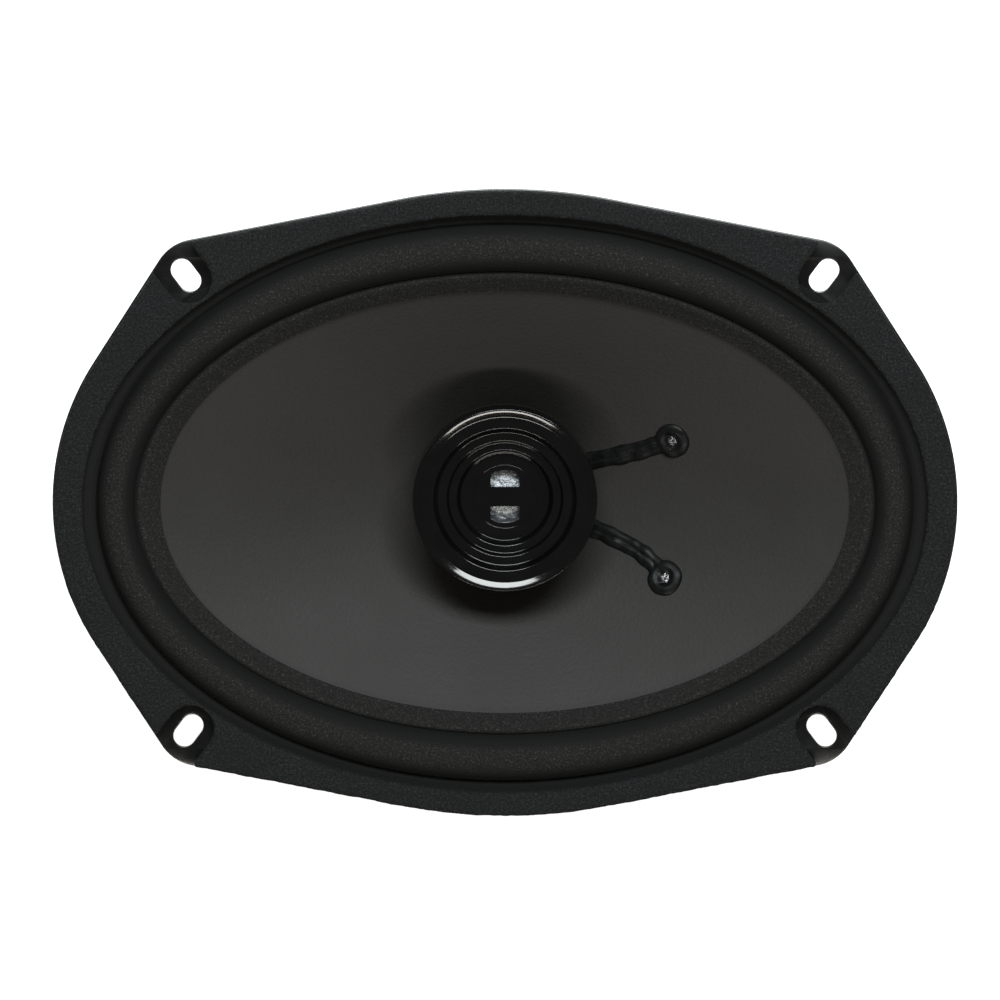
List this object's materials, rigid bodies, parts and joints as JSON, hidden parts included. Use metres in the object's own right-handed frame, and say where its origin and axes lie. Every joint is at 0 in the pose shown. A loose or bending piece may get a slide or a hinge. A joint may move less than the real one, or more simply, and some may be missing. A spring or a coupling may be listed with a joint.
{
  "type": "coaxial car speaker",
  "caption": "Oval two-way coaxial car loudspeaker: pressed steel frame with slotted corners, foam gasket, half-roll edge, dark cone and a gloss black tweeter on a centre post.",
  "frame": {"origin": "on the loudspeaker's axis at the back of the magnet system, where it rests when it lies face up", "axes": "+X along the oval's long side towards the terminals, +Y along its short side, +Z the way it plays"},
  "size_m": [0.235, 0.164, 0.0836],
  "materials": {
    "black_painted_steel": "semi-gloss black",
    "gasket_foam": "fine-grained charcoal foam",
    "surround_rubber": "matt black with a fine speckle",
    "cone_paper": "dark grey, leathery",
    "gloss_black_plastic": "gloss black",
    "matte_black_plastic": "satin black",
    "black_glue": "satin black",
    "zinc_plated_steel": "zinc plate",
    "ferrite": "dull dark grey",
    "copper_wire": "enamelled copper",
    "kapton": "amber film",
    "spider_cloth": "impregnated woven cloth",
    "metallised_film": "crinkled, silvery",
    "phenolic_board": "brown laminate",
    "tinned_brass": "tinned",
    "tinsel_braid": "woven copper braid",
    "solder": "dull silver",
    "capacitor_sleeve": "blue shrink sleeve",
    "red_insulation": "red pvc",
    "black_insulation": "black pvc"
  },
  "bodies": {
    "chassis": {"chassis_basket": "black_painted_steel", "front_gasket": "gasket_foam", "surround": "surround_rubber", "spider": "spider_cloth", "pole_yoke": "zinc_plated_steel", "ferrite_magnet": "ferrite", "top_plate": "zinc_plated_steel", "basket_rivet_1": "zinc_plated_steel", "basket_rivet_2": "zinc_plated_steel", "basket_rivet_3": "zinc_plated_steel", "basket_rivet_4": "zinc_plated_steel", "tweeter_faceplate": "gloss_black_plastic", "tweeter_housing": "matte_black_plastic", "tweeter_diaphragm_ring": "matte_black_plastic", "tweeter_magnet_cup": "zinc_plated_steel", "tweeter_magnet": "zinc_plated_steel", "tweeter_pole_plate": "zinc_plated_steel", "tweeter_post": "zinc_plated_steel", "tweeter_post_nut": "zinc_plated_steel", "tweeter_post_washer": "zinc_plated_steel", "terminal_board": "phenolic_board", "terminal_positive": "tinned_brass", "terminal_negative": "tinned_brass", "board_rivet_positive_side": "zinc_plated_steel", "board_rivet_negative_side": "zinc_plated_steel", "blade_rivet_positive": "tinned_brass", "blade_rivet_negative": "tinned_brass", "crossover_capacitor": "capacitor_sleeve", "capacitor_lead": "solder", "tinsel_lead_positive": "tinsel_braid", "tinsel_lead_negative": "tinsel_braid", "tweeter_wire_positive": "red_insulation", "tweeter_wire_negative": "black_insulation"},
    "cone_assembly": {"cone": "cone_paper", "lead_glue_upper": "black_glue", "lead_glue_lower": "black_glue", "lead_eyelet_upper": "solder", "lead_eyelet_lower": "solder", "voice_coil_former": "kapton", "voice_coil_winding": "copper_wire"},
    "tweeter_diaphragm": {"tweeter_dome": "metallised_film", "tweeter_voice_coil": "copper_wire"}
  },
  "joints": [
    {"name": "cone_stroke", "type": "slide", "parent": "chassis", "child": "cone_assembly", "axis": [0, 0, 1], "range_m": [-0.004, 0.004], "stiffness_N_per_m": 1500, "deforming": ["surround", "spider", "tinsel_lead_positive", "tinsel_lead_negative"]},
    {"name": "tweeter_dome_stroke", "type": "slide", "parent": "chassis", "child": "tweeter_diaphragm", "axis": [0, 0, 1], "range_m": [-0.0002, 0.0002], "stiffness_N_per_m": 200}
  ]
}
